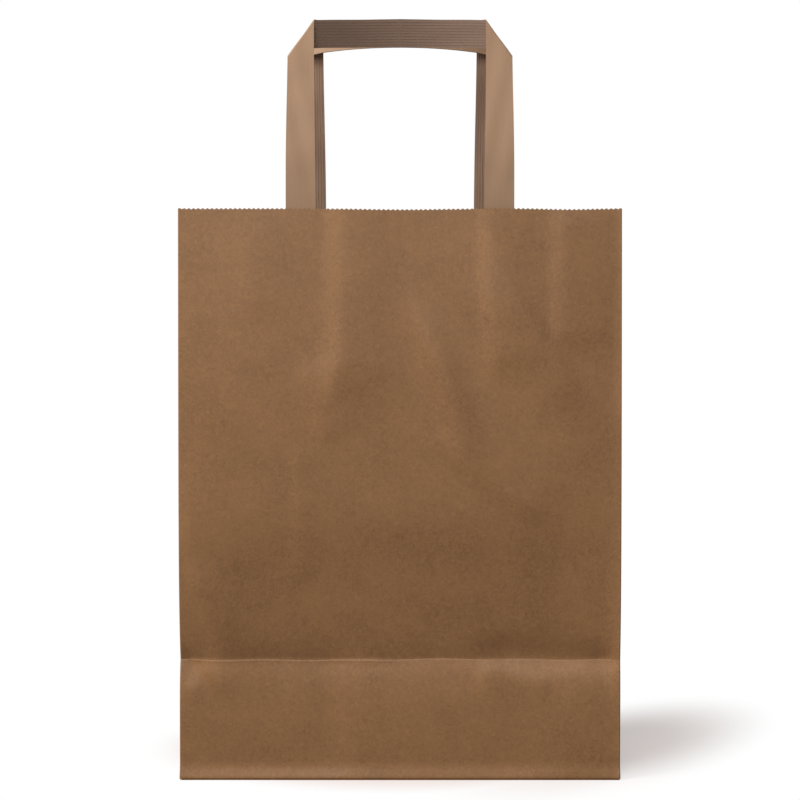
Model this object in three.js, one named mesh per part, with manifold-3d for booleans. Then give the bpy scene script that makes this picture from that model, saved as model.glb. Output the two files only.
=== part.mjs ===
// Block-bottom kraft paper carrier bag with two flat tape handles glued inside the mouth.
// Millimetres, +Z up, front panel facing -Y, origin at the centre of the base on the floor.
import * as THREE from 'three';
import { mergeVertices } from 'three/addons/utils/BufferGeometryUtils.js';
import Module from 'manifold-3d';

const wasm = await Module();
wasm.setup();

// Bag sizes
const WIDTH = 240;
const DEPTH = 120;
const HEIGHT = 310;
const PAPER = 0.15;

// Shape of the standing bag
const FOLD_HEIGHT = 66;
const FOLD_SINK = 3;
const BELLY = 4;
const MOUTH_TUCK = 18;
const MOUTH_PINCH = 0.8;
const APEX_TUCK = 4;
const MOUTH_ZONE = 62;
const SHOULDER = 26;
const UPPER_ROWS = 4;
const GUSSET_STEPS = 3;
const PANEL_STEPS = 6;

// Serrated cut
const TOOTH_PITCH = 2.5;
const TOOTH_DEPTH = 1.2;
const TOOTH_STRIP = 4;

// Glued laps of the sheet
const FLAP_LAP = 20;
const SEAM_WIDTH = 14;
const SEAM_INSET = 34;

// Tape handles and their patches
const TAPE_WIDTH = 16;
const TAPE = 0.6;
const HANDLE_SPAN = 124;
const HANDLE_LENGTH = 114.5;
const REAR_RISE = 3.5;
const LEG_TUCK = 46;
const FRONT_LEAN = 16;
const REAR_LEAN = 4;
const BEND_RADIUS = 14;
const BEND_STEPS = 4;
const FOLD_PRESS = 0.1;
const GLUE = 0.1;
const PATCH_WIDTH = 160;
const PATCH_HEIGHT = 50;
const PATCH_DROP = 5;
const PATCH_STEP = 1.5;

const HALF_WIDTH = WIDTH / 2;
const HALF_DEPTH = DEPTH / 2;
const FLOOR = 2 * PAPER;
const TURN = Math.PI;
const UP = new THREE.Vector3(0, 0, 1);

const kraft = { color: 0x8e6a4a, roughness: 0.85, metalness: 0 };
const tapeKraft = { color: 0xac8e70, roughness: 0.8, metalness: 0 };

// Solids from closed geometry, and back again after joining or cutting
function solidOf(geometry) {
  geometry.deleteAttribute('normal');
  geometry.deleteAttribute('uv');
  const merged = mergeVertices(geometry, 1e-4);
  const vertProperties = new Float32Array(merged.attributes.position.array);
  const triVerts = new Uint32Array(merged.index.array);
  return new wasm.Manifold(new wasm.Mesh({ numProp: 3, vertProperties, triVerts }));
}

function geometryOf(solid) {
  const { vertProperties, triVerts } = solid.getMesh();
  const geometry = new THREE.BufferGeometry();
  geometry.setAttribute('position', new THREE.BufferAttribute(vertProperties, 3));
  geometry.setIndex(new THREE.BufferAttribute(triVerts, 1));
  geometry.computeVertexNormals();
  return geometry;
}

function part(name, solid, finish) {
  const mesh = new THREE.Mesh(geometryOf(solid), new THREE.MeshStandardMaterial(finish));
  mesh.name = name;
  return mesh;
}

// How far the gusset's centre crease is drawn in at a height
function gussetTuck(z) {
  const rise = (z - HALF_DEPTH) / (HEIGHT - HALF_DEPTH);
  return APEX_TUCK + (MOUTH_TUCK - APEX_TUCK) * rise;
}

// Half the bag's depth at its corner folds: the drawn-in gussets pull the panels together
function cornerDepth(z) {
  const tuck = gussetTuck(Math.max(z, HALF_DEPTH));
  const drawn = Math.sqrt(HALF_DEPTH ** 2 - tuck ** 2);
  const below = Math.min(z / FOLD_HEIGHT, 1);
  const above = Math.max((z - FOLD_HEIGHT) / FOLD_HEIGHT, 0);
  return HALF_DEPTH + (drawn - HALF_DEPTH) * below - FOLD_SINK * Math.max(below - above, 0);
}

// Half the bag's width: the bulging panels pinch it a little towards the mouth
function cornerWidth(z) {
  const rise = Math.max((z - FOLD_HEIGHT) / (HEIGHT - FOLD_HEIGHT), 0);
  return HALF_WIDTH - MOUTH_PINCH * rise;
}

// How far the middle of a panel bulges beyond its corner folds
function belly(z) {
  const rise = Math.max((z - FOLD_HEIGHT) / (HEIGHT - FOLD_HEIGHT), 0);
  return BELLY * Math.sin(0.75 * Math.PI * rise);
}

// The upper end of both panels is flat, because the glued patches stiffen it
function panelDepth(z) {
  const foot = HEIGHT - MOUTH_ZONE;
  if (z <= foot) return cornerDepth(z) + belly(z);
  const share = (z - foot) / MOUTH_ZONE;
  const low = cornerDepth(foot) + belly(foot);
  const high = cornerDepth(HEIGHT) + belly(HEIGHT);
  return low + (high - low) * share;
}

// A point on the front panel, run millimetres from its left corner fold
function panelPoint(run, z, inset) {
  const edge = Math.min(run, WIDTH - run);
  const swell = Math.min(edge / SHOULDER, 1);
  const depth = cornerDepth(z) + (panelDepth(z) - cornerDepth(z)) * swell;
  const x = (cornerWidth(z) - inset) * ((2 * run) / WIDTH - 1);
  return new THREE.Vector3(x, inset - depth, z);
}

// A point on the right gusset, run millimetres behind its front corner fold.
// Below the apex the diagonal creases bound a triangle that leans in from the base edge.
function gussetPoint(run, z, inset) {
  const side = Math.min(run, DEPTH - run);
  const creased = (APEX_TUCK * Math.min(side, z)) / HALF_DEPTH;
  const folded = (gussetTuck(z) * side) / HALF_DEPTH;
  const tuck = z < HALF_DEPTH ? creased : folded;
  const y = (cornerDepth(z) - inset) * ((2 * run) / DEPTH - 1);
  return new THREE.Vector3(cornerWidth(z) - tuck - inset, y, z);
}

// The walls in order round the tube: the rear half is the front half turned about Z
const walls = [
  { length: WIDTH, point: panelPoint, turn: 0, gusset: false, seamed: false },
  { length: DEPTH, point: gussetPoint, turn: 0, gusset: true, seamed: false },
  { length: WIDTH, point: panelPoint, turn: TURN, gusset: false, seamed: true },
  { length: DEPTH, point: gussetPoint, turn: TURN, gusset: true, seamed: false },
];

function tubePoint(station, z, inset) {
  const wall = walls[station.wall];
  return wall.point(station.run, z, inset - station.lift).applyAxisAngle(UP, wall.turn);
}

// Stations round the tube. The glued lap of the tube is a strip one paper thickness proud.
function tubeStations() {
  const stations = [];
  const add = (wall, run, lift) => stations.push({ wall, run, lift });
  const flat = WIDTH - 2 * SHOULDER;
  const panelRuns = [0];
  for (let i = 0; i <= PANEL_STEPS; i++) panelRuns.push(SHOULDER + (flat * i) / PANEL_STEPS);
  const seamEnd = SEAM_INSET + SEAM_WIDTH;
  walls.forEach((wall, index) => {
    if (wall.gusset) {
      for (let i = 0; i < 2 * GUSSET_STEPS; i++) add(index, (HALF_DEPTH * i) / GUSSET_STEPS, 0);
    } else if (wall.seamed) {
      panelRuns.filter((run) => run < SEAM_INSET).forEach((run) => add(index, run, 0));
      add(index, SEAM_INSET, 0);
      add(index, SEAM_INSET, PAPER);
      add(index, seamEnd, PAPER);
      add(index, seamEnd, 0);
      panelRuns.filter((run) => run > seamEnd).forEach((run) => add(index, run, 0));
    } else {
      panelRuns.forEach((run) => add(index, run, 0));
    }
  });
  return stations;
}

// Heights of the lofted rows: base edge, gusset triangle, cross fold, belly, mouth zone
function tubeHeights() {
  const heights = [];
  for (let i = 0; i <= GUSSET_STEPS; i++) heights.push((HALF_DEPTH * i) / GUSSET_STEPS);
  const foot = HEIGHT - MOUTH_ZONE;
  for (let i = 0; i <= UPPER_ROWS; i++) {
    heights.push(FOLD_HEIGHT + ((foot - FOLD_HEIGHT) * i) / UPPER_ROWS);
  }
  heights.push(HEIGHT - TOOTH_STRIP);
  return heights;
}

// One side of the sheet: rows of points round the tube, closed below, with a toothed upper edge
function tubeSide(stations, heights, inset, floor) {
  const points = [];
  const faces = [];
  const put = (point) => points.push(point) - 1;
  const rows = heights.map((z) => stations.map((station) => {
    const point = tubePoint(station, z, inset);
    point.z = Math.max(z, floor);
    return put(point);
  }));
  const count = stations.length;
  for (let r = 0; r + 1 < rows.length; r++) {
    for (let c = 0; c < count; c++) {
      const [a, b] = [rows[r][c], rows[r][(c + 1) % count]];
      const [d, e] = [rows[r + 1][c], rows[r + 1][(c + 1) % count]];
      const rising = walls[stations[c].wall].gusset && stations[c].run < HALF_DEPTH;
      if (rising) faces.push([a, b, e], [a, e, d]);
      else faces.push([a, b, d], [b, e, d]);
    }
  }
  const hub = put(new THREE.Vector3(0, 0, floor));
  for (let c = 0; c < count; c++) faces.push([rows[0][(c + 1) % count], rows[0][c], hub]);
  const root = rows[rows.length - 1];
  const valleys = stations.map((station) => put(tubePoint(station, HEIGHT - TOOTH_DEPTH, inset)));
  const rim = [];
  for (let c = 0; c < count; c++) {
    const next = (c + 1) % count;
    const from = stations[c];
    const wall = walls[from.wall];
    const end = stations[next].wall === from.wall ? stations[next].run : wall.length;
    const teeth = Math.round((end - from.run) / TOOTH_PITCH);
    const edge = [valleys[c]];
    for (let i = 1; i < 2 * teeth; i++) {
      const run = from.run + ((end - from.run) * i) / (2 * teeth);
      const z = i % 2 ? HEIGHT : HEIGHT - TOOTH_DEPTH;
      edge.push(put(tubePoint({ ...from, run }, z, inset)));
    }
    edge.push(valleys[next]);
    const middle = Math.floor(edge.length / 2);
    for (let i = 0; i + 1 < edge.length; i++) {
      faces.push([i < middle ? root[c] : root[next], edge[i + 1], edge[i]]);
    }
    faces.push([root[c], root[next], edge[middle]]);
    rim.push(...edge.slice(0, -1));
  }
  return { points, faces, rim };
}

// The whole folded tube: outer side, inner side and the cut edge that joins them at the mouth
function tubeSolid() {
  const stations = tubeStations();
  const heights = tubeHeights();
  const outer = tubeSide(stations, heights, 0, FLOOR);
  const plain = stations.map((station) => ({ ...station, lift: 0 }));
  const inner = tubeSide(plain, heights, PAPER, FLOOR + PAPER);
  const shift = outer.points.length;
  const faces = [...outer.faces];
  inner.faces.forEach(([a, b, c]) => faces.push([a + shift, c + shift, b + shift]));
  outer.rim.forEach((a, i) => {
    const next = (i + 1) % outer.rim.length;
    const b = outer.rim[next];
    const [d, e] = [inner.rim[i] + shift, inner.rim[next] + shift];
    faces.push([a, b, e], [a, e, d]);
  });
  const geometry = new THREE.BufferGeometry().setFromPoints([...outer.points, ...inner.points]);
  geometry.setIndex(faces.flat());
  return solidOf(geometry);
}

// A toothed line of points from one end to the other, the teeth pointing along +Y
function toothedLine(fromX, toX, y) {
  const teeth = Math.round(Math.abs(toX - fromX) / TOOTH_PITCH);
  const line = [];
  for (let i = 0; i <= 2 * teeth; i++) {
    const x = fromX + ((toX - fromX) * i) / (2 * teeth);
    line.push(new THREE.Vector2(x, i % 2 ? y : y - TOOTH_DEPTH));
  }
  return line;
}

function prism(shape, low, high) {
  const geometry = new THREE.ExtrudeGeometry(shape, { depth: high - low, bevelEnabled: false });
  return geometry.translate(0, 0, low);
}

// A base flap: a trapezoid with mitred ends whose toothed free edge passes the centre line
function baseFlap(turn, low, high) {
  const reach = FLAP_LAP / 2;
  const end = HALF_WIDTH - HALF_DEPTH;
  const outline = [
    new THREE.Vector2(-HALF_WIDTH, -HALF_DEPTH),
    new THREE.Vector2(HALF_WIDTH, -HALF_DEPTH),
    new THREE.Vector2(end, 0),
    ...toothedLine(end, -end, reach),
    new THREE.Vector2(-end, 0),
  ];
  return solidOf(prism(new THREE.Shape(outline), low, high).rotateZ(turn));
}

// A gusset's end tucked flat over the base inside, with its own toothed free edge
function baseTuck(turn, low, high) {
  const reach = HALF_DEPTH + FLAP_LAP / 2;
  const side = HALF_DEPTH - PAPER / 2;
  const outline = [
    new THREE.Vector2(-side, PAPER / 2),
    new THREE.Vector2(side, PAPER / 2),
    ...toothedLine(side, -side, reach),
  ];
  const geometry = prism(new THREE.Shape(outline), low, high);
  return solidOf(geometry.rotateZ(Math.PI / 2).translate(HALF_WIDTH, 0, 0).rotateZ(turn));
}

function bagBody() {
  const inside = FLOOR + PAPER;
  return tubeSolid()
    .add(baseFlap(0, 0, FLOOR + PAPER / 2))
    .add(baseFlap(TURN, PAPER, FLOOR + PAPER / 2))
    .add(baseTuck(0, inside - PAPER / 2, inside + PAPER))
    .add(baseTuck(TURN, inside - PAPER / 2, inside + PAPER));
}

// Frame of a handle: inner face of the front panel at the mouth, Y into the bag, Z up the panel
function mouthFrame() {
  const drop = panelDepth(HEIGHT - MOUTH_ZONE) - panelDepth(HEIGHT);
  const slope = Math.atan2(drop, MOUTH_ZONE);
  const face = PAPER / Math.cos(slope);
  return new THREE.Matrix4()
    .makeTranslation(0, face - panelDepth(HEIGHT), HEIGHT)
    .multiply(new THREE.Matrix4().makeRotationX(-slope));
}

// Side profile of a leg: straight down the panel, bent over at the mouth, straight up to the grip
function legProfile(lean, rise) {
  const inner = BEND_RADIUS - TAPE;
  const straight = HANDLE_LENGTH + rise - BEND_RADIUS * lean;
  const back = GLUE + BEND_RADIUS;
  const at = (radius, angle) => new THREE.Vector2(
    back - radius * Math.cos(angle),
    radius * Math.sin(angle),
  );
  const along = new THREE.Vector2(Math.sin(lean), Math.cos(lean)).multiplyScalar(straight);
  const outline = [new THREE.Vector2(GLUE, rise - LEG_TUCK)];
  for (let i = 0; i <= BEND_STEPS; i++) outline.push(at(BEND_RADIUS, (lean * i) / BEND_STEPS));
  outline.push(at(BEND_RADIUS, lean).add(along));
  outline.push(at(inner, lean).add(along));
  for (let i = BEND_STEPS; i >= 0; i--) outline.push(at(inner, (lean * i) / BEND_STEPS));
  outline.push(new THREE.Vector2(GLUE + TAPE, rise - LEG_TUCK));
  return { shape: new THREE.Shape(outline), top: at(BEND_RADIUS, lean).add(along) };
}

// One flat tape folded at 45 degrees at both upper corners, so that the grip lies behind the legs.
// It leans over the mouth, and is glued in higher by its rise.
function handle(leanDegrees, rise) {
  const lean = THREE.MathUtils.degToRad(leanDegrees);
  const { shape, top } = legProfile(lean, rise);
  const half = HANDLE_SPAN / 2;
  const placed = new THREE.Matrix4()
    .makeTranslation(0, top.x, top.y)
    .multiply(new THREE.Matrix4().makeRotationX(-lean));
  const upright = (points, near, far) => {
    const geometry = prism(new THREE.Shape(points.map(([x, z]) => new THREE.Vector2(x, z))), -far, -near);
    return solidOf(geometry.rotateX(Math.PI / 2).applyMatrix4(placed));
  };
  const inside = half - TAPE_WIDTH;
  const grip = upright(
    [[-half, -TAPE_WIDTH], [half, -TAPE_WIDTH], [inside, 0], [-inside, 0]],
    TAPE - FOLD_PRESS,
    2 * TAPE - FOLD_PRESS,
  );
  return [-1, 1].reduce((tape, side) => {
    const strip = new THREE.ExtrudeGeometry(shape, { depth: TAPE_WIDTH, bevelEnabled: false });
    strip.rotateY(Math.PI / 2).rotateX(Math.PI / 2).translate(side > 0 ? inside : -half, 0, 0);
    const past = half + TAPE_WIDTH;
    const corner = [[half, -TAPE_WIDTH], [inside, 0], [inside, TAPE_WIDTH], [past, TAPE_WIDTH], [past, -TAPE_WIDTH]];
    const offcut = upright(corner.map(([x, z]) => [side * x, z]), -TAPE_WIDTH, TAPE_WIDTH);
    return tape.add(solidOf(strip).subtract(offcut));
  }, grip);
}

// A patch glued over both legs: flat on the panel, stepping up over each leg
function patch() {
  const raised = GLUE + TAPE + GLUE;
  const outerLeg = HANDLE_SPAN / 2 + GLUE;
  const innerLeg = HANDLE_SPAN / 2 - TAPE_WIDTH - GLUE;
  const rightHalf = [
    [innerLeg - PATCH_STEP, GLUE],
    [innerLeg, raised],
    [outerLeg, raised],
    [outerLeg + PATCH_STEP, GLUE],
    [PATCH_WIDTH / 2, GLUE],
  ];
  const leftHalf = rightHalf.map(([x, y]) => [-x, y]).reverse();
  const line = [...leftHalf, ...rightHalf].map(([x, y]) => new THREE.Vector2(x, y));
  const back = line.map(({ x, y }) => new THREE.Vector2(x, y + PAPER)).reverse();
  return solidOf(prism(new THREE.Shape([...line, ...back]), -PATCH_DROP - PATCH_HEIGHT, -PATCH_DROP));
}

const bag = new THREE.Group();
bag.add(part('bag_body', bagBody(), kraft));

const sides = [
  { name: 'front', turn: 0, lean: FRONT_LEAN, rise: 0 },
  { name: 'rear', turn: TURN, lean: REAR_LEAN, rise: REAR_RISE },
];
sides.forEach(({ name, turn, lean, rise }) => {
  const mouth = new THREE.Group();
  mouth.applyMatrix4(mouthFrame());
  mouth.add(part(`${name}_handle`, handle(lean, rise), tapeKraft));
  mouth.add(part(`${name}_patch`, patch(), kraft));
  const side = new THREE.Group();
  side.rotation.z = turn;
  side.add(mouth);
  bag.add(side);
});

export default bag;
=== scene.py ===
"""A kraft paper carrier bag: a folded sheet, two folded tape handles and their patches, in a plain studio."""

import logging
import math
from dataclasses import dataclass
from enum import Enum
from typing import Any, Sequence

import bmesh
import bpy
import numpy as np
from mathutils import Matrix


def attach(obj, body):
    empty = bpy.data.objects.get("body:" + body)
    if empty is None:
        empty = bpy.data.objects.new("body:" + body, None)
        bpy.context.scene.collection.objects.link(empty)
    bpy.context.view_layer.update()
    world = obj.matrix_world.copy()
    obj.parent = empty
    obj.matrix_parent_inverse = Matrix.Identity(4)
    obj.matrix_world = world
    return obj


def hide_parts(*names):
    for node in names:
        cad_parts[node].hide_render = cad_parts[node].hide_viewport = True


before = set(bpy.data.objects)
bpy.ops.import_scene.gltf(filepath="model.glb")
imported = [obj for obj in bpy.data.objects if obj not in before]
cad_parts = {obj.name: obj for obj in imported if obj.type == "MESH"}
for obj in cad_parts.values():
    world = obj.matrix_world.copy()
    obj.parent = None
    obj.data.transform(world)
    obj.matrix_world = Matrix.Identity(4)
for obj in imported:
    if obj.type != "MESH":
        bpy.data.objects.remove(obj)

MM = 0.001
TINY = 1e-6
ROOT2 = math.sqrt(2)
BODY = "root"
TAPE_UV = "tape"
WALLS = range(4)
LOG = logging.getLogger("carrier_bag")

# Constants of the sRGB curve
SRGB_KNEE = 0.04045
SRGB_SLOPE = 12.92
SRGB_OFFSET = 0.055
SRGB_POWER = 2.4

Array = np.ndarray
Piece = bpy.types.Object
Material = bpy.types.Material
Tree = bpy.types.NodeTree
Socket = bpy.types.NodeSocket
Colour = tuple[float, float, float, float]
Faces = list[tuple[int, ...]]
Columns = list[tuple[int, float]]

WHITE: Colour = (1.0, 1.0, 1.0, 1.0)


class Side(Enum):
    """Which panel a handle or a patch belongs to; the value is its turn about the upright axis."""

    FRONT = 0.0
    REAR = math.pi

    @property
    def label(self) -> str:
        """Name of the side as the nodes use it."""
        return self.name.lower()


class FoldForm(Enum):
    """Section of a soft fold in the paper: a rounded ridge, or a slope up to a level that dies away."""

    RIDGE = "ridge"
    SLOPE = "slope"


def linear(code: str) -> Colour:
    """Turn an sRGB hex colour into the linear colour that shaders take.

    Args:
        code: Six hex digits, with or without a leading hash.

    Returns:
        Linear red, green, blue and an alpha of one.
    """
    digits = code.lstrip("#")
    values = [int(digits[i:i + 2], 16) / 255 for i in (0, 2, 4)]
    red, green, blue = (
        v / SRGB_SLOPE if v <= SRGB_KNEE else ((v + SRGB_OFFSET) / (1 + SRGB_OFFSET)) ** SRGB_POWER
        for v in values)
    return red, green, blue, 1.0


def smooth(value: Array | float) -> Array:
    """Ease a value from nought to one with flat ends."""
    held = np.clip(value, 0.0, 1.0)
    return held * held * (3.0 - 2.0 * held)


def add_node(tree: Tree, kind: str, settings: dict[str, Any] | None = None,
             **links: Any) -> bpy.types.Node:
    """Add one node with its settings, its input values and the links into it.

    Args:
        tree: Node tree that gets the node.
        kind: Node type identifier.
        settings: Node properties by name.
        links: Input name, with underscores for spaces or in_N for input N, to a value or an output socket.

    Returns:
        The new node.
    """
    node = tree.nodes.new(kind)
    for name, value in (settings or {}).items():
        setattr(node, name, value)
    for name, value in links.items():
        key: int | str = int(name.removeprefix("in_")) if name.startswith("in_") else name.replace("_", " ")
        if isinstance(value, Socket):
            tree.links.new(value, node.inputs[key])
        else:
            node.inputs[key].default_value = value
    return node


def new_material(name: str) -> tuple[Material, Tree]:
    """Make an empty node material.

    Args:
        name: Name of the real material.

    Returns:
        The material and its cleared node tree.
    """
    material = bpy.data.materials.new(name)
    material.use_nodes = True
    material.node_tree.nodes.clear()
    return material, material.node_tree


@dataclass(frozen=True)
class Noise:
    """Size of a noise pattern's spots in metres, and how broken up they are."""

    size: float
    detail: float
    roughness: float
    distortion: float = 0.0

    def sockets(self) -> dict[str, float]:
        """Values for the sockets of a noise node."""
        return {"Scale": 1 / self.size, "Detail": self.detail, "Roughness": self.roughness,
                "Distortion": self.distortion}


@dataclass(frozen=True)
class Tint:
    """From where to where on a noise pattern a tint fades in, and how much of it shows at most."""

    start: float
    end: float
    most: float

    def lay(self, tree: Tree, noise: Socket, under: Socket,
            colour: str) -> Socket:
        """Lay the tint over a colour where the noise is high.

        Args:
            tree: Node tree of the material.
            noise: Value of the noise pattern.
            under: Colour below.
            colour: Hex colour of the tint.

        Returns:
            The mixed colour.
        """
        share = add_node(tree, "ShaderNodeMapRange", Value=noise, From_Min=self.start, From_Max=self.end,
                         To_Min=0.0, To_Max=self.most)
        mixed = add_node(tree, "ShaderNodeMix", {"data_type": "RGBA"}, in_0=share.outputs[0], in_6=under,
                         in_7=linear(colour))
        return mixed.outputs[2]


@dataclass(frozen=True)
class PaperFinish:
    """What every paper here has: a brown in three tones, a soft sheen and a fine tooth."""

    name: str
    colour: str
    pale: str
    deep: str
    roughness: float = 0.5
    gloss: float = 0.36
    tooth_height: float = 0.02 * MM
    tooth_strength: float = 0.5

    def toned(self, tree: Tree, noise: Socket, stops: tuple[float, float],
              high: str) -> Socket:
        """Run from the deep tone to a higher one over a noise pattern.

        Args:
            tree: Node tree of the material.
            noise: Value of the noise pattern.
            stops: Places of both tones on the pattern.
            high: Hex colour of the higher tone.

        Returns:
            The toned colour.
        """
        ramp = add_node(tree, "ShaderNodeValToRGB", Fac=noise)
        for element, place, colour in zip(ramp.color_ramp.elements, stops, (self.deep, high)):
            element.position = place
            element.color = linear(colour)
        return ramp.outputs[0]

    def surface(self, tree: Tree, colour: Socket,
                height: Socket) -> None:
        """Finish a material with its tooth, its sheen and its output.

        Args:
            tree: Node tree of the material.
            colour: Colour of the paper.
            height: Noise pattern that gives the tooth.
        """
        tooth = add_node(tree, "ShaderNodeBump", Strength=self.tooth_strength, Distance=self.tooth_height,
                         Height=height)
        shader = add_node(tree, "ShaderNodeBsdfPrincipled", Base_Color=colour, Roughness=self.roughness,
                          Normal=tooth.outputs[0], Specular_IOR_Level=self.gloss)
        add_node(tree, "ShaderNodeOutputMaterial", Surface=shader.outputs[0])


@dataclass(frozen=True)
class KraftPaper(PaperFinish):
    """Uncoated brown kraft with a soft sheen: mottled, streaked along the web and flecked with fibres."""

    # Real grain and fibres are finer than a pixel, so they are drawn coarser here.
    fleck: str = "#4a3020"
    web: tuple[float, float, float] = (0.9 * MM, 0.9 * MM, 16 * MM)
    mottle: Noise = Noise(26 * MM, 4.0, 0.6)
    streak: Noise = Noise(1.0, 3.0, 0.65)
    grain: Noise = Noise(0.75 * MM, 3.0, 0.7)
    fibre: Noise = Noise(2.4 * MM, 5.0, 0.75, 1.5)
    tone_stops: tuple[float, float] = (0.3, 0.72)
    streak_tint: Tint = Tint(0.3, 0.75, 0.16)
    grain_tint: Tint = Tint(0.4, 0.75, 0.28)
    fibre_tint: Tint = Tint(0.32, 0.72, 0.8)

    def material(self) -> Material:
        """Build the paper's node material.

        Returns:
            The finished material.
        """
        material, tree = new_material(self.name)
        place = add_node(tree, "ShaderNodeTexCoord").outputs["Object"]
        web = add_node(tree, "ShaderNodeMapping", Vector=place, Scale=[1 / size for size in self.web])
        vectors = (place, web.outputs[0], place, place)
        mottle, streak, grain, fibre = [
            add_node(tree, "ShaderNodeTexNoise", Vector=vector, **noise.sockets()).outputs[0]
            for vector, noise in zip(vectors, (self.mottle, self.streak, self.grain, self.fibre))]
        colour = self.toned(tree, mottle, self.tone_stops, self.colour)
        colour = self.streak_tint.lay(tree, streak, colour, self.pale)
        colour = self.grain_tint.lay(tree, grain, colour, self.fleck)
        colour = self.fibre_tint.lay(tree, fibre, colour, self.pale)
        self.surface(tree, colour, grain)
        return material


@dataclass(frozen=True)
class HandleTape(PaperFinish):
    """Machine-glazed kraft tape: smooth and even, with faint streaks that run along the tape."""

    # Real grain is finer than a pixel, so it is drawn coarser here.
    roughness: float = 0.62
    gloss: float = 0.3
    tooth_height: float = 0.015 * MM
    web: tuple[float, float, float] = (0.8 * MM, 30 * MM, 1.0)
    streak: Noise = Noise(1.0, 4.0, 0.65)
    grain: Noise = Noise(0.6 * MM, 3.0, 0.7)
    tone_stops: tuple[float, float] = (0.28, 0.74)
    evenness: float = 0.8
    grain_tint: Tint = Tint(0.5, 0.78, 0.3)

    def material(self) -> Material:
        """Build the tape's node material on the tape's own UV map, which is in metres.

        Returns:
            The finished material.
        """
        material, tree = new_material(self.name)
        strip = add_node(tree, "ShaderNodeUVMap", {"uv_map": TAPE_UV}).outputs[0]
        place = add_node(tree, "ShaderNodeTexCoord").outputs["Object"]
        along = add_node(tree, "ShaderNodeMapping", Vector=strip, Scale=[1 / size for size in self.web])
        streak, grain = [
            add_node(tree, "ShaderNodeTexNoise", Vector=vector, **noise.sockets()).outputs[0]
            for vector, noise in ((along.outputs[0], self.streak), (place, self.grain))]
        tone = self.toned(tree, streak, self.tone_stops, self.pale)
        even = add_node(tree, "ShaderNodeMix", {"data_type": "RGBA"}, in_0=self.evenness, in_6=tone,
                        in_7=linear(self.colour))
        self.surface(tree, self.grain_tint.lay(tree, grain, even.outputs[2], self.deep), streak)
        return material


@dataclass(frozen=True)
class ShadowPatch:
    """An oval on the floor in which the shadow is kept; outside it the floor runs out into white."""

    centre: tuple[float, float, float]
    radii: tuple[float, float, float]
    turn: float
    full: float
    lift: float

    def whiteness(self, tree: Tree) -> Socket:
        """Add the nodes that measure how white the floor is.

        Args:
            tree: Node tree of the floor's material.

        Returns:
            A socket with the lift inside the oval and one outside it.
        """
        place = add_node(tree, "ShaderNodeTexCoord").outputs["Object"]
        moved = add_node(tree, "ShaderNodeMapping", {"vector_type": "TEXTURE"}, Vector=place,
                         Location=self.centre, Rotation=(0.0, 0.0, math.radians(self.turn)), Scale=self.radii)
        away = add_node(tree, "ShaderNodeVectorMath", {"operation": "LENGTH"}, in_0=moved.outputs[0])
        spread = add_node(tree, "ShaderNodeMapRange", {"interpolation_type": "SMOOTHSTEP"},
                          Value=away.outputs["Value"], From_Min=self.full, To_Min=self.lift)
        return spread.outputs[0]


@dataclass(frozen=True)
class StudioWhite:
    """Pale studio floor that takes the shadow near the bag and runs out into the white background."""

    # The warm white gives the soft shadow its tint, and the darker shade keeps bounced light off the paper.
    name: str = "matt white floor sheet"
    colour: str = "#d9c9c3"
    shade: str = "#8a8886"
    beside: ShadowPatch = ShadowPatch(centre=(0.124, 0.0, 0.0), radii=(0.144, 0.067, 1.0), turn=42.0,
                                      full=0.27, lift=0.36)
    under: ShadowPatch = ShadowPatch(centre=(0.0, 0.0, 0.0), radii=(0.15, 0.085, 1.0), turn=0.0,
                                     full=0.7, lift=0.4)

    def material(self) -> Material:
        """Build the floor's node material.

        Returns:
            The finished material.
        """
        material, tree = new_material(self.name)
        spread = add_node(tree, "ShaderNodeMath", {"operation": "MINIMUM"}, in_0=self.beside.whiteness(tree),
                          in_1=self.under.whiteness(tree))
        seen = add_node(tree, "ShaderNodeLightPath").outputs["Is Camera Ray"]
        white = add_node(tree, "ShaderNodeMath", {"operation": "MULTIPLY"}, in_0=spread.outputs[0], in_1=seen)
        tint = add_node(tree, "ShaderNodeMix", {"data_type": "RGBA"}, in_0=seen, in_6=linear(self.shade),
                        in_7=linear(self.colour))
        sheet = add_node(tree, "ShaderNodeBsdfDiffuse", Color=tint.outputs[2])
        glow = add_node(tree, "ShaderNodeEmission", Color=WHITE, Strength=1.0)
        mixed = add_node(tree, "ShaderNodeMixShader", in_0=white.outputs[0], in_1=sheet.outputs[0],
                         in_2=glow.outputs[0])
        add_node(tree, "ShaderNodeOutputMaterial", Surface=mixed.outputs[0])
        return material


def plain_object(name: str, verts: Sequence[Any], faces: Sequence[Any],
                 edges: Sequence[tuple[int, int]] = ()) -> Piece:
    """Make a mesh object at the origin from points and faces or edges.

    Args:
        name: Name of the piece.
        verts: Points in metres.
        faces: Point numbers of each face, seen counter-clockwise from outside.
        edges: Point numbers of each loose edge.

    Returns:
        The new object, linked to the scene.
    """
    mesh = bpy.data.meshes.new(name)
    mesh.from_pydata([tuple(map(float, v)) for v in verts], list(edges), [tuple(map(int, f)) for f in faces])
    mesh.update()
    return hang(name, mesh)


def hang(name: str, data: bpy.types.ID) -> Piece:
    """Put a mesh, a lamp or a camera into the scene as an object."""
    holder = bpy.data.objects.new(name, data)
    bpy.context.scene.collection.objects.link(holder)
    return holder


def settle(piece: Piece) -> None:
    """Turn a piece with modifiers into a plain mesh.

    Args:
        piece: Object whose modifiers are made permanent.
    """
    graph = bpy.context.evaluated_depsgraph_get()
    mesh = bpy.data.meshes.new_from_object(piece.evaluated_get(graph))
    mesh.name = piece.name
    piece.modifiers.clear()
    piece.data = mesh


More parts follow.
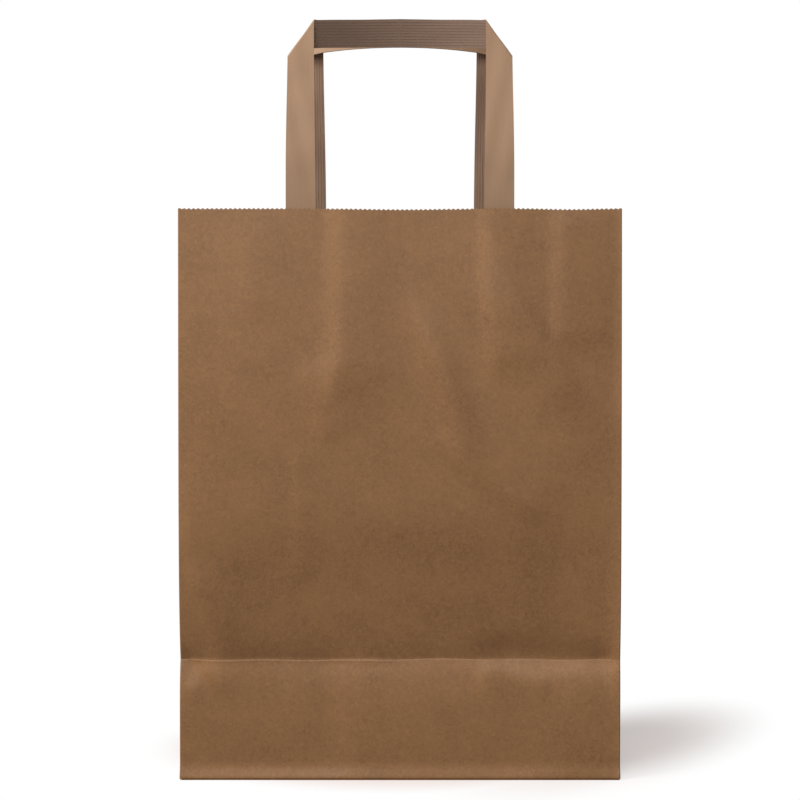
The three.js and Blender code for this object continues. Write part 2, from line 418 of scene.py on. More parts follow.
def thicken(piece: Piece, paper: float, offset: float) -> None:
    """Give a face of paper its thickness.

    Args:
        piece: Object that is one face thick.
        paper: Thickness.
        offset: One to grow along the face's normals, minus one to grow against them.
    """
    wall = piece.modifiers.new("paper", "SOLIDIFY")
    wall.thickness = paper
    wall.offset = offset
    settle(piece)


def join_into(piece: Piece, extra: Piece) -> None:
    """Move another object's mesh into a piece and delete that object.

    Args:
        piece: Object that keeps its name, materials and place.
        extra: Object whose faces are added.
    """
    work = bmesh.new()
    work.from_mesh(piece.data)
    work.from_mesh(extra.data)
    work.to_mesh(piece.data)
    work.free()
    bpy.data.objects.remove(extra)


def round_off(piece: Piece, angle: float) -> None:
    """Shade a piece smooth, with edges sharper than an angle in degrees kept crisp."""
    piece.data.shade_smooth()
    piece.data.set_sharp_from_angle(angle=math.radians(angle))


def grid_faces(rows: int, cols: int) -> Faces:
    """Faces of a grid of points that is numbered row by row."""
    corners = [r * cols + c for r in range(rows - 1) for c in range(cols - 1)]
    return [(a, a + cols, a + cols + 1, a + 1) for a in corners]


def hand_over(piece: Piece, node: str) -> None:
    """Hand a piece to the frame.

    Args:
        piece: Finished piece.
        node: CAD node that it stands for.
    """
    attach(piece, BODY)
    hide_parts(node)


@dataclass(frozen=True)
class Ripple:
    """One faint wave in paper: radians per metre across and up, and where it starts."""

    across: float
    up: float
    start: float = 0.0

    def sway(self, across: Array, up: Array | float) -> Array:
        """Height of the wave at each place, from minus one to one."""
        return np.sin(self.across * across + self.up * up + self.start)


@dataclass(frozen=True)
class SoftFold:
    """A soft fold pressed into a panel, along a bent line in millimetres from the middle of its foot."""

    line: tuple[tuple[float, float], ...]
    height: float
    width: float
    form: FoldForm = FoldForm.RIDGE
    taper: float = 2.0
    fade: float = 4.0

    def relief(self, across: Array, up: Array) -> Array:
        """Work out how far the fold lifts the paper.

        Args:
            across: Places across the panel in millimetres.
            up: Heights on the panel in millimetres.

        Returns:
            Lift out of the panel in millimetres.
        """
        nearest = np.full(np.shape(across), np.inf)
        share = np.zeros(np.shape(across))
        past = np.zeros(np.shape(across))
        last = len(self.line) - 2
        for i, (start, end) in enumerate(zip(self.line[:-1], self.line[1:])):
            run = np.subtract(end, start)
            length = float(np.hypot(*run))
            along = ((across - start[0]) * run[0] + (up - start[1]) * run[1]) / length
            beside = ((across - start[0]) * run[1] - (up - start[1]) * run[0]) / length
            before = np.maximum(-along, 0.0)
            after = np.maximum(along - length, 0.0)
            away = np.hypot(beside, before + after)
            free = (before if i == 0 else 0.0) + (after if i == last else 0.0)
            bent = np.where(free > 0.0, beside, np.copysign(away, beside))
            closer = away < nearest
            nearest = np.where(closer, away, nearest)
            share = np.where(closer, bent / self.width, share)
            past = np.where(closer, free, past)
        if self.form is FoldForm.RIDGE:
            section = np.exp(-share ** 2 / 2.0)
        else:
            level = np.exp(-(np.maximum(share - 1.0, 0.0) / self.fade) ** 2)
            section = smooth((share + 1.0) / 2.0) * level
        return self.height * section * np.exp(-(past / (self.taper * self.width)) ** 2)


def pressed(folds: Sequence[SoftFold], across: Array, up: Array) -> Array:
    """Lift in metres of all the folds of a panel at places in metres."""
    return sum((fold.relief(across / MM, up / MM) for fold in folds), np.zeros_like(across)) * MM


@dataclass
class BagSheet:
    """The bag's one sheet: a lofted tube with gussets, a cross fold, a toothed mouth and a block bottom."""

    width: float = 240 * MM
    depth: float = 120 * MM
    height: float = 310 * MM
    paper: float = 0.2 * MM
    # Cross fold and lip over the base
    fold_height: float = 64.4 * MM
    fold_sink: float = 5.8 * MM
    fold_reach: float = 30 * MM
    straight_share: float = 0.35
    curl_power: int = 7
    corner_sink: float = 4.0 * MM
    left_sink: float = 6.8 * MM
    corner_reach: float = 10 * MM
    edge_curl: float = 0.4 * MM
    curl_reach: float = 3.4 * MM
    rear_fold_rise: float = 1.1 * MM
    lip_height: float = 8 * MM
    lip_sink: float = 1.9 * MM
    # Swell and hollow of the panels
    belly: float = 1.4 * MM
    belly_turn: float = 0.75 * math.pi
    hollow: float = 2.4 * MM
    hollow_height: float = 90 * MM
    hollow_reach: float = 50 * MM
    shoulder: float = 40 * MM
    calm_edge: float = 6 * MM
    gusset_calm: float = 8 * MM
    wave_height: float = 0.35 * MM
    waves: tuple[Ripple, Ripple] = (Ripple(31.0, 17.0, 0.6), Ripple(-14.0, 23.0, 1.1))
    # Wander of the cross fold: height of each ripple in millimetres, reach, and shift from wall to wall
    wander: tuple[tuple[float, Ripple], ...] = (
        (0.35, Ripple(52.0, 0.0, 0.4)), (0.2, Ripple(131.0, 0.0, 2.0)))
    wander_reach: float = 9 * MM
    wander_shift: float = 0.21
    # Gussets and mouth; each sag has its depth, its place and its reach as shares of the width
    mouth_tuck: float = 18 * MM
    mouth_pinch: float = 0.8 * MM
    apex_tuck: float = 4 * MM
    mouth_zone: float = 62 * MM
    sags: tuple[tuple[float, float, float], ...] = ((0.6 * MM, 0.5, 0.14), (0.5 * MM, 0.88, 0.07))
    tooth_pitch: float = 2.5 * MM
    tooth_depth: float = 0.75 * MM
    tooth_root: float = 3.2 * MM
    # Mesh: rows near the cross fold and the foot are in millimetres
    edge_round: float = 0.7 * MM
    corner_round: float = 0.35
    crisp_angle: float = 16.0
    row_pitch: float = 2.5 * MM
    row_clear: float = 0.8 * MM
    fold_rows: tuple[float, ...] = (-2.0, -1.2, -0.7, -0.35, 0.0, 0.35, 0.7, 1.2, 2.0)
    foot_rows: tuple[float, ...] = (0.4, 0.9, 1.5)
    # Base and lap seam
    floor_height: float = 0.36 * MM
    floor_lift: float = 0.9 * MM
    floor_rings: int = 6
    flap_lap: float = 20 * MM
    flap_inset: float = 0.3 * MM
    flap_levels: tuple[tuple[float, float], ...] = ((0.0, 0.18 * MM), (0.16 * MM, 0.34 * MM))
    tuck_inset: float = 3 * MM
    tuck_start: float = 1 * MM
    tuck_level: tuple[float, float] = (1.0 * MM, 1.2 * MM)
    seam_inset: float = 34 * MM
    seam_width: float = 14 * MM
    seam_step: float = 0.05 * MM
    front_folds: tuple[SoftFold, ...] = ()
    rear_folds: tuple[SoftFold, ...] = ()
    gusset_folds: tuple[SoftFold, ...] = ()

    def gusset_tuck(self, z: Array) -> Array:
        """How far the gusset's centre crease is drawn in at a height."""
        rise = (z - self.depth / 2) / (self.height - self.depth / 2)
        return self.apex_tuck + (self.mouth_tuck - self.apex_tuck) * rise

    def rise(self, z: Array) -> Array:
        """Share of the way from the cross fold up to the mouth, nought below the fold."""
        return np.maximum((z - self.fold_height) / (self.height - self.fold_height), 0.0)

    def half_width(self, z: Array) -> Array:
        """Half the width between the corner folds at a height."""
        return self.width / 2 - self.mouth_pinch * self.rise(z)

    def drawn_depth(self, z: Array) -> Array:
        """Half the depth that the drawn-in gussets leave at a height."""
        tuck = self.gusset_tuck(np.maximum(z, self.depth / 2))
        drawn = np.sqrt((self.depth / 2) ** 2 - tuck ** 2)
        below = np.minimum(z / self.fold_height, 1.0)
        return self.depth / 2 + (drawn - self.depth / 2) * below

    def fold_dip(self, z: Array, sink: Array | float) -> Array:
        """How far the cross fold and the lip over the base draw a panel in.

        Args:
            z: Heights.
            sink: Depth of the cross fold; a negative one stands out.

        Returns:
            Inward offsets.
        """
        lip = self.lip_sink * smooth(z / self.lip_height)
        lip = lip + self.edge_round * np.clip(1 - z / (2 * self.edge_round), 0.0, 1.0) ** 2
        below = np.clip(z / self.fold_height, 0.0, 1.0)
        curl = self.straight_share * below + (1 - self.straight_share) * below ** self.curl_power
        under = lip + (sink - self.lip_sink) * curl
        over = sink * np.exp(-(z - self.fold_height) / self.fold_reach)
        return np.where(z <= self.fold_height, under, over)

    def panel_bulge(self, z: Array) -> Array:
        """How far the middle of a panel stands out beyond its corner folds."""
        hollow = self.hollow * np.exp(-((z - self.hollow_height) / self.hollow_reach) ** 2)
        return self.belly * np.sin(self.belly_turn * self.rise(z)) - hollow

    def panel(self, run: Array, z: Array, front: bool) -> Array:
        """Points of a panel, seen as the front one.

        Args:
            run: Distances from the left corner fold.
            z: Heights.
            front: Whether it is the front panel, with a valley fold, or the rear one, with a ridge.

        Returns:
            Points, one row each.
        """
        x = self.half_width(z) * (2 * run / self.width - 1)
        edge = np.minimum(run, self.width - run)
        swell = smooth(0.5 + 0.5 * edge / self.shoulder) * 2 - 1
        free = smooth(edge / self.calm_edge) * smooth(z / self.calm_edge)
        relief = pressed(self.front_folds if front else self.rear_folds, x, z) * free
        wave = self.wave_height * self.waves[0].sway(x, z) * self.waves[1].sway(x, z) * free
        dip = self.fold_dip(z, self.fold_sink if front else -self.rear_fold_rise)
        if front:
            sides = np.where(run < self.width / 2, self.left_sink, self.corner_sink)
            corner = self.fold_dip(z, sides)
            dip = corner + (dip - corner) * smooth(edge / self.corner_reach)
            dip = dip - self.edge_curl * smooth(1 - (self.width - run) / self.curl_reach)
        depth = self.drawn_depth(z) - dip + swell * self.panel_bulge(z) + relief + wave
        if not front:
            seam = (run >= self.seam_inset) & (run <= self.seam_inset + self.seam_width)
            depth = depth + np.where(seam, self.paper, 0.0)
        return np.stack([x, -depth, z], axis=-1)

    def gusset(self, run: Array, z: Array, sink: float) -> Array:
        """Points of the right gusset, with its centre crease and the two diagonal creases over the base.

        Args:
            run: Distances behind the front corner fold.
            z: Heights.
            sink: How far the front corner fold is drawn in at the cross fold.

        Returns:
            Points, one row each.
        """
        side = np.minimum(run, self.depth - run)
        half = self.depth / 2
        creased = self.apex_tuck * np.minimum(side, z) / half
        folded = self.gusset_tuck(z) * side / half
        free = smooth(side / self.gusset_calm) * smooth(z / self.gusset_calm)
        relief = pressed(self.gusset_folds, run - half, z) * free
        x = self.half_width(z) - np.where(z < half, creased, folded) + relief
        share = run / self.depth
        front = self.drawn_depth(z) - self.fold_dip(z, sink)
        rear = self.drawn_depth(z) - self.fold_dip(z, -self.rear_fold_rise)
        return np.stack([x, -front * (1 - share) + rear * share, z], axis=-1)

    def wall_point(self, wall: int, run: Array, z: Array) -> Array:
        """Points of one of the four walls in order round the tube.

        Args:
            wall: Front, right, rear or left wall, counted from nought.
            run: Distances along the wall.
            z: Heights.

        Returns:
            Points, one row each.
        """
        if wall == 0:
            return self.panel(run, z, True)
        if wall == 1:
            return self.gusset(run, z, self.corner_sink)
        if wall == 2:
            return self.panel(run, z, False) * np.array([-1.0, -1.0, 1.0])
        return self.gusset(self.depth - run, z, self.left_sink) * np.array([-1.0, 1.0, 1.0])

    def wall_length(self, wall: int) -> float:
        """Length of a wall: the panels are even, the gussets odd."""
        return self.depth if wall % 2 else self.width

    def wall_runs(self, wall: int) -> Array:
        """Distances along a wall at which the mesh has columns.

        Args:
            wall: Wall, counted from nought.

        Returns:
            Distances in order, with two close ones at each corner fold, crease and seam edge.
        """
        length = self.wall_length(wall)
        runs = list(np.arange(round(length / self.tooth_pitch)) * self.tooth_pitch)
        runs += [self.edge_round, length - self.edge_round]
        if wall % 2:
            runs += [length / 2 - self.edge_round, length / 2 + self.edge_round]
        if wall == 2:
            for place in (self.seam_inset, self.seam_inset + self.seam_width):
                runs += [place - self.seam_step, place + self.seam_step]
        return np.array(sorted(runs))

    def row_heights(self) -> Array:
        """Heights of the mesh's rows.

        Returns:
            Heights in order, close together at the base edge and on both sides of the cross fold.
        """
        even = np.arange(0.0, self.height - self.tooth_root, self.row_pitch)
        fold = self.fold_height + np.array(self.fold_rows) * MM
        foot = np.array(self.foot_rows) * MM
        keep = even[np.min(np.abs(even[:, None] - fold[None, :]), axis=1) > self.row_clear]
        rows = np.concatenate([keep, fold, foot, [self.height - self.tooth_root]])
        return np.array(sorted(rows))

    def columns(self) -> Columns:
        """All columns round the tube, as wall number and distance along the wall."""
        return [(wall, float(run)) for wall in WALLS for run in self.wall_runs(wall)]

    def row_points(self, columns: Columns, z: Array) -> Array:
        """Points of one row round the tube.

        Args:
            columns: Wall and distance of each point.
            z: Height of each point.

        Returns:
            Points, one row each, with the corner folds rounded a little.
        """
        points = np.zeros((len(columns), 3))
        for wall in WALLS:
            picked = [i for i, column in enumerate(columns) if column[0] == wall]
            run = np.array([columns[i][1] for i in picked])
            points[picked] = self.wall_point(wall, run, z[picked])
        for i, (_, run) in enumerate(columns):
            if run == 0.0:
                points[i, :2] -= np.sign(points[i, :2]) * self.corner_round * self.edge_round
        return points

    def fold_wave(self, columns: Columns, z: float) -> Array:
        """How far a row wanders up and down where it lies on the cross fold.

        Args:
            columns: Wall and distance of each point.
            z: Height of the row.

        Returns:
            Rise of each point.
        """
        near = math.exp(-((z - self.fold_height) / self.wander_reach) ** 2)
        run = np.array([run + self.wander_shift * wall for wall, run in columns])
        return near * MM * sum(height * ripple.sway(run, 0.0) for height, ripple in self.wander)

    def tube(self) -> tuple[list[Any], Faces]:
        """Build the outer face of the walls, with the floor and the toothed upper edge.

        Returns:
            Points and faces.
        """
        columns = self.columns()
        heights = self.row_heights()
        count = len(columns)
        points: list[Any] = []
        for z in heights:
            row = self.row_points(columns, np.full(count, z))
            row[:, 2] = np.maximum(row[:, 2] + self.fold_wave(columns, float(z)), self.floor_height)
            points.extend(row)
        faces: Faces = []
        for r in range(len(heights) - 1):
            for c, (wall, run) in enumerate(columns):
                a, b = r * count + c, r * count + (c + 1) % count
                d, e = a + count, b + count
                if wall % 2 and heights[r] < self.depth / 2:
                    rising = run < self.depth / 2
                    faces += [(a, b, e), (a, e, d)] if rising else [(a, b, d), (b, e, d)]
                else:
                    faces.append((a, b, e, d))
        self.add_teeth(columns, (len(heights) - 1) * count, points, faces)
        self.add_floor(count, points, faces)
        return points, faces

    def tooth_top(self, run: float) -> float:
        """Height of the serrated cut at a distance along a wall."""
        share = (run / self.tooth_pitch) % 1.0
        return self.height - self.tooth_depth * abs(2.0 * share - 1.0)

    def mouth_sag(self, wall: int, run: float) -> float:
        """How far the cut edge sags between the handle's legs and beside the right one.

        Args:
            wall: Wall, counted from nought; only the panels sag.
            run: Distance along the wall.

        Returns:
            Depth of the sag.
        """
        if wall % 2:
            return 0.0
        share = run / self.width
        return sum(depth * math.exp(-((share - place) / reach) ** 2) for depth, place, reach in self.sags)

    def add_teeth(self, columns: Columns, root: int, points: list[Any], faces: Faces) -> None:
        """Add the toothed strip over the last row.

        Args:
            columns: Wall and distance of each point.
            root: Number of the last row's first point.
            points: Points so far, added to.
            faces: Faces so far, added to.
        """
        count = len(columns)
        crown = len(points)
        tops = np.array([self.tooth_top(run) - self.mouth_sag(wall, run) for wall, run in columns])
        points.extend(self.row_points(columns, tops))
        for c, (wall, run) in enumerate(columns):
            n = (c + 1) % count
            end = columns[n][1] if columns[n][0] == wall else self.wall_length(wall)
            tip = (math.floor(run / self.tooth_pitch + TINY) + 0.5) * self.tooth_pitch
            if run < tip < end:
                z = self.height - self.mouth_sag(wall, tip)
                points.append(self.wall_point(wall, np.array([tip]), np.array([z]))[0])
                t = len(points) - 1
                faces += [(root + c, root + n, t), (root + c, t, crown + c), (root + n, crown + n, t)]
            else:
                faces.append((root + c, root + n, crown + n, crown + c))

    def add_floor(self, count: int, points: list[Any], faces: Faces) -> None:
        """Close the tube below with a floor that rises a little in the middle.

        Args:
            count: Number of points in a row.
            points: Points so far, added to.
            faces: Faces so far, added to.
        """
        first = len(points)
        base = np.array(points[:count])
        for ring in range(1, self.floor_rings):
            share = 1 - ring / self.floor_rings
            row = base * np.array([share, share, 1.0])
            row[:, 2] += self.floor_lift * (1 - share ** 2)
            points.extend(row)
        points.append((0.0, 0.0, self.floor_height + self.floor_lift))
        hub = len(points) - 1
        low = 0
        for high in range(first, hub, count):
            for c in range(count):
                n = (c + 1) % count
                faces.append((low + n, low + c, high + c, high + n))
            low = high
        faces += [(low + (c + 1) % count, low + c, hub) for c in range(count)]

    def toothed(self, start: float, end: float, y: float) -> list[tuple[float, float]]:
        """Points of a serrated cut across the base.

        Args:
            start: First place across.
            end: Last place across.
            y: Place of the teeth's tips.

        Returns:
            Points along the cut.
        """
        halves = 2 * round(abs(end - start) / self.tooth_pitch)
        return [(start + (end - start) * i / halves, y - (0.0 if i % 2 else self.tooth_depth))
                for i in range(halves + 1)]

    def slab(self, outline: list[tuple[float, float]], level: tuple[float, float], turn: float,
             shift: float = 0.0) -> Piece:
        """Make a flat layer of paper from its outline.

        Args:
            outline: Corners in order, counter-clockwise from above.
            level: Heights of the under and the upper side.
            turn: Turn about the upright axis.
            shift: Move to the right after the turn.

        Returns:
            The layer as an object.
        """
        count = len(outline)
        cos, sin = math.cos(turn), math.sin(turn)
        points = [(x * cos - y * sin + shift, x * sin + y * cos, z) for z in level for x, y in outline]
        faces: Faces = [tuple(range(count))[::-1], tuple(range(count, 2 * count))]
        faces += [(i, (i + 1) % count, count + (i + 1) % count, count + i) for i in range(count)]
        return plain_object("layer", points, faces)

    def base_layers(self) -> list[Piece]:
        """Make the mitred flaps under the base and the gusset ends tucked flat inside it.

        Returns:
            The layers as objects.
        """
        half, deep = self.width / 2, self.depth / 2
        mitre = half - deep
        flap = [(-half + self.flap_inset, -deep), (half - self.flap_inset, -deep), (mitre, 0.0)]
        flap += self.toothed(mitre, -mitre, self.flap_lap / 2) + [(-mitre, 0.0)]
        side = deep - self.tuck_inset
        tuck = [(-side, self.tuck_start), (side, self.tuck_start)]
        tuck += self.toothed(side, -side, deep + self.flap_lap / 2)
        layers = [self.slab(flap, level, turn) for level, turn in zip(self.flap_levels, (0.0, math.pi))]
        ends = ((math.pi / 2, half), (-math.pi / 2, -half))
        return layers + [self.slab(tuck, self.tuck_level, turn, shift) for turn, shift in ends]

    def build(self) -> Piece:
        """Build the bag's sheet with its thickness and its base layers.

        Returns:
            The finished piece.
        """
        piece = plain_object("kraft_bag", *self.tube())
        thicken(piece, self.paper, -1.0)
        for layer in self.base_layers():
            join_into(piece, layer)
        round_off(piece, self.crisp_angle)
        return piece

    def flat_size(self) -> tuple[float, float]:
        """Size of the uncut sheet: four walls and a lap across, a wall and half the base with its lap up."""
        round_tube = 2 * (self.width + self.depth) + self.seam_width
        return round_tube, self.height + (self.depth + self.flap_lap) / 2

    def dress(self, piece: Piece, paper: Material) -> None:
        """Give the sheet its paper and hand it to the frame.

        Args:
            piece: The bag's sheet.
            paper: Its material.
        """
        piece.data.materials.clear()
        piece.data.materials.append(paper)
        hand_over(piece, "bag_body")

    def mouth_slope(self) -> float:
        """Lean of the panels' stiffened upper zone, towards the inside."""
        ends = np.array([self.height - self.mouth_zone, self.height])
        deep = self.drawn_depth(ends) + self.panel_bulge(ends)
        return math.atan2(float(deep[0] - deep[1]), self.mouth_zone)

    def mouth_place(self) -> float:
        """Distance from the bag's middle to the panels' inner face at the mouth."""
        top = np.array([self.height])
        return float((self.drawn_depth(top) + self.panel_bulge(top))[0]) - self.paper


@dataclass
class MouthFrame:
    """Place of a handle or a patch: the inner face of a panel at the mouth, seen as the front one."""

    sheet: BagSheet
    side: Side
    glue: float = 0.9 * MM

    def named(self, part: str) -> str:
        """Name of a part on this side."""
        return f"{self.side.label}_{part}"

    def place(self, x: Array, inward: Array, up: Array) -> Array:
        """Turn places on the panel's inner face into points.

        Args:
            x: Places across.
            inward: Distances from the inner face into the bag.
            up: Distances up the panel from the mouth.

        Returns:
            Points, on the last axis.
        """
        slope = self.sheet.mouth_slope()
        away = inward + self.glue
        y = -self.sheet.mouth_place() + away * math.cos(slope) + up * math.sin(slope)
        z = self.sheet.height - away * math.sin(slope) + up * math.cos(slope)
        turned = math.cos(self.side.value)
        return np.stack([x * turned, y * turned, z], axis=-1)


@dataclass
class TapeHandle:
    """One flat tape: two legs and a grip, folded over at both upper corners and glued inside the mouth."""

    mouth: MouthFrame
    length: float
    tuck: float
    lean: float
    arch: float
    drop: float
    flare: float
    width: float = 16 * MM
    tape: float = 0.6 * MM
    span: float = 122.4 * MM
    # Corner folds, which stand open by the gap in degrees
    fold_radius: float = 0.75 * MM
    fold_gap: float = 36.0
    level_part: float = 4.0
    level_ease: float = 3.0
    squeeze: float = 1.1 * MM
    # Bow of the legs and the grip
    bend: float = 60 * MM
    lean_spare: float = 10 * MM
    lean_steps: int = 400
    drop_reach: float = 45 * MM
    gather: float = 0.12
    crumple: float = 0.25 * MM
    crumple_start: float = 20 * MM
    crumples: tuple[Ripple, Ripple] = (Ripple(190.0, 150.0), Ripple(-260.0, 61.0, 0.8))
    # Mesh, with close rows from just before each fold to just after it
    before_fold: float = 2 * MM
    after_fold: float = 5 * MM
    leg_rows: int = 70
    fold_rows: int = 64
    grip_rows: int = 24
    columns: int = 30
    crisp_angle: float = 50.0
    # Ribs, one on every third column
    rib_step: int = 3
    rib_row_step: int = 2
    rib_radius: float = 0.36 * MM
    rib_stand: float = 0.15 * MM
    rib_sides: int = 6

    def fold_start(self) -> float:
        """Distance up the outer edge at which the diagonal fold begins."""
        return self.length - self.width - math.pi * self.fold_radius / ROOT2

    def half_length(self) -> float:
        """Distance along the tape from the mouth to the middle of the grip."""
        return self.fold_start() + self.span / 2 + math.pi * self.fold_radius / ROOT2

    def flat_size(self) -> tuple[float, float]:
        """Size of the tape laid out flat, from end to end."""
        return self.width, 2 * (self.half_length() + self.tuck)

    def lengths(self) -> Array:
        """Distances along half the tape at which the mesh has rows.

        Returns:
            Distances in order, close together at the fold.
        """
        start = self.fold_start() - self.before_fold
        fold_end = self.fold_start() + self.width + self.after_fold
        leg = np.linspace(-self.tuck, start, self.leg_rows, endpoint=False)
        fold = np.linspace(start, fold_end, self.fold_rows, endpoint=False)
        grip = np.linspace(fold_end, self.half_length(), self.grip_rows)
        return np.concatenate([leg, fold, grip])

    def folded(self, along: Array, across: Array) -> tuple[Array, Array, Array, Array]:
        """Fold half the flat tape over its diagonal.

        Args:
            along: Distances along the tape from the mouth.
            across: Distances from the tape's outer edge.

        Returns:
            Places across, into the bag and up, and whether each place is past the fold.
        """
        turn = math.pi - math.radians(self.fold_gap)
        reach = ((along - self.fold_start()) - across) / ROOT2
        line = ((along - self.fold_start()) + across) / ROOT2
        angle = np.clip(reach / self.fold_radius, 0.0, turn)
        rest = np.maximum(reach - self.fold_radius * turn, 0.0)
        flat = np.minimum(reach, 0.0) + self.fold_radius * np.sin(angle) + rest * math.cos(turn)
        inward = self.fold_radius * (1 - np.cos(angle)) + rest * math.sin(turn)
        past = smooth(reach / (self.fold_radius * turn))
        run = along - self.fold_start() - self.width / 2
        opened = past * (1 - math.cos(math.pi - turn)) / self.level_part
        level = opened * (run + np.hypot(run, self.width / self.level_ease))
        x = -self.span / 2 + line / ROOT2 - flat / ROOT2 + level
        up = self.fold_start() + line / ROOT2 + flat / ROOT2 - level
        return x, inward, up, past

    def shaped(self, along: Array, across: Array) -> tuple[Array, Array, Array]:
        """Bow the folded tape as it hangs: an arched grip, dropped corners, and gathered and crumpled legs.

        Args:
            along: Distances along the tape from the mouth.
            across: Distances from the tape's outer edge.

        Returns:
            Places across, into the bag and up.
        """
        x, inward, up, past = self.folded(along, across)
        inner = self.span / 2 - self.width
        middle = -self.span / 2 + self.width / 2
        beyond = np.maximum(x + inner, 0.0)
        slope = math.radians(self.fold_gap) / ROOT2
        inward = inward - past * slope * beyond ** 2 / (2 * inner)
        crown = self.arch * np.clip(1 - (x / inner) ** 2, 0.0, 1.0)
        corner = self.drop * np.clip((np.abs(x) - inner) / self.width, 0.0, 1.0)
        near_top = smooth((up - self.fold_start() + self.drop_reach) / self.drop_reach)
        hold = 1 - smooth(beyond / inner)
        lever = np.clip(middle - x, -self.width / 2, self.width / 2)
        x = x + hold * self.gather * smooth(up / self.length) * lever
        first, second = self.crumples
        ripple = self.crumple * first.sway(across, along) * second.sway(across, along)
        inward = inward + hold * ripple * smooth(up / self.crumple_start)
        x = x - hold * self.flare * smooth(up / self.length)
        squeeze = past * self.squeeze * (1 - across / self.width)
        return x, inward, up + (crown - corner) * near_top + squeeze

    def leaned(self, x: Array, inward: Array, up: Array) -> Array:
        """Lean the handle over the mouth and set it on its panel.

        Args:
            x: Places across.
            inward: Distances into the bag.
            up: Distances up the handle.

        Returns:
            Points, on the last axis.
        """
        steps = np.linspace(0.0, self.length + self.lean_spare, self.lean_steps)
        angle = math.radians(self.lean) * smooth(steps / self.bend)
        pitch = steps[1] - steps[0]
        over = np.concatenate([[0.0], np.cumsum(np.sin(angle[:-1]) * pitch)])
        high = np.concatenate([[0.0], np.cumsum(np.cos(angle[:-1]) * pitch)])
        here = np.interp(up, steps, angle)
        y = np.where(up > 0, np.interp(up, steps, over), 0.0) + inward * np.cos(here)
        z = np.where(up > 0, np.interp(up, steps, high), up) - inward * np.sin(here)
        return self.mouth.place(x, y, z)

    def middle_face(self) -> tuple[Array, Array]:
        """Points of the tape's middle face from end to end, and its flat size at each.

        Returns:
            Points by row and column, and the flat places across and along in metres.
        """
        along = self.lengths()
        across = np.linspace(0.0, self.width, self.columns + 1)
        rows, cols = np.meshgrid(along, across, indexing="ij")
        x, inward, up = self.shaped(rows, cols)
        x[-1] = 0.0
        half = self.leaned(x, inward, up)
        other = self.leaned(-x, inward, up)
        flat = np.stack([cols, rows], axis=-1)
        mirrored = np.stack([cols, 2 * along[-1] - rows], axis=-1)
        return np.concatenate([half, other[-2::-1]]), np.concatenate([flat, mirrored[-2::-1]])

    def faces_out(self, points: Array) -> Array:
        """Find the direction of the tape's inner side.

        Args:
            points: Points of the middle face by row and column.

        Returns:
            Unit directions at each point.
        """
        normal = np.cross(np.gradient(points, axis=0), np.gradient(points, axis=1))
        return normal / np.linalg.norm(normal, axis=-1, keepdims=True)

    def build(self) -> Piece:
        """Build the tape with its thickness; its inner side takes the second material.

        Returns:
            The tape without its ribs.
        """
        points, flat = self.middle_face()
        normal = self.faces_out(points)
        rows, cols = points.shape[:2]
        sides = [(points + way * normal * self.tape / 2).reshape(-1, 3) for way in (1, -1)]
        shift = rows * cols
        inner = grid_faces(rows, cols)
        outer = [(shift + a, shift + b, shift + e, shift + d) for a, d, e, b in inner]
        ring = [r * cols for r in range(rows)]
        ring += [(rows - 1) * cols + c for c in range(1, cols)]
        ring += [r * cols + cols - 1 for r in range(rows - 2, -1, -1)]
        ring += list(range(cols - 2, 0, -1))
        rim = [(b, a, shift + a, shift + b) for a, b in zip(ring, ring[1:] + ring[:1])]
        piece = plain_object(self.mouth.named("tape"), np.concatenate(sides), inner + outer + rim)
        kinds = [1] * len(inner) + [0] * (len(outer) + len(rim))
        piece.data.polygons.foreach_set("material_index", kinds)
        places = np.concatenate([flat.reshape(-1, 2)] * 2)
        layer = piece.data.uv_layers.new(name=TAPE_UV)
        for loop in piece.data.loops:
            layer.data[loop.index].uv = places[loop.vertex_index]
        return piece

    def rib_lines(self) -> Piece:
        """Lay the centre lines of the ribs on the tape's inner side, as plain edges.

        Returns:
            An object of edges only.
        """
        points, _ = self.middle_face()
        sunk = self.tape / 2 + self.rib_stand - self.rib_radius
        face = points + self.faces_out(points) * sunk
        picked = face[::self.rib_row_step, self.rib_step:-1:self.rib_step]
        rows, ribs = picked.shape[:2]
        edges = [(r * ribs + c, (r + 1) * ribs + c) for c in range(ribs) for r in range(rows - 1)]
        return plain_object(self.mouth.named("tape_ribs"), picked.reshape(-1, 3), [], edges)

    def build_ribs(self, inside: Material) -> Piece:
        """Sweep fine round ribs along the tape's inner side.

        Args:
            inside: Material of the inner side.

        Returns:
            The ribs of one tape, as a piece of their own.
        """
        lines = self.rib_lines()
        tree = rib_tree()
        sweep = lines.modifiers.new("ribs", "NODES")
        sweep.node_group = tree
        sizes = {"Rib Radius": self.rib_radius, "Rib Sides": self.rib_sides, "Rib Paper": inside}
        for item in tree.interface.items_tree:
            if item.name in sizes:
                sweep[item.identifier] = sizes[item.name]
        settle(lines)
        round_off(lines, self.crisp_angle)
        return lines

    def dress(self, piece: Piece, outside: Material, inside: Material) -> None:
        """Give the tape its two papers and its ribs, and hand both to the frame.

        Args:
            piece: The tape.
            outside: Material of the smooth outer side.
            inside: Material of the ribbed inner side.
        """
        piece.data.materials.append(outside)
        piece.data.materials.append(inside)
        round_off(piece, self.crisp_angle)
        ribs = self.build_ribs(inside)
        for part in (piece, ribs):
            hand_over(part, self.mouth.named("handle"))


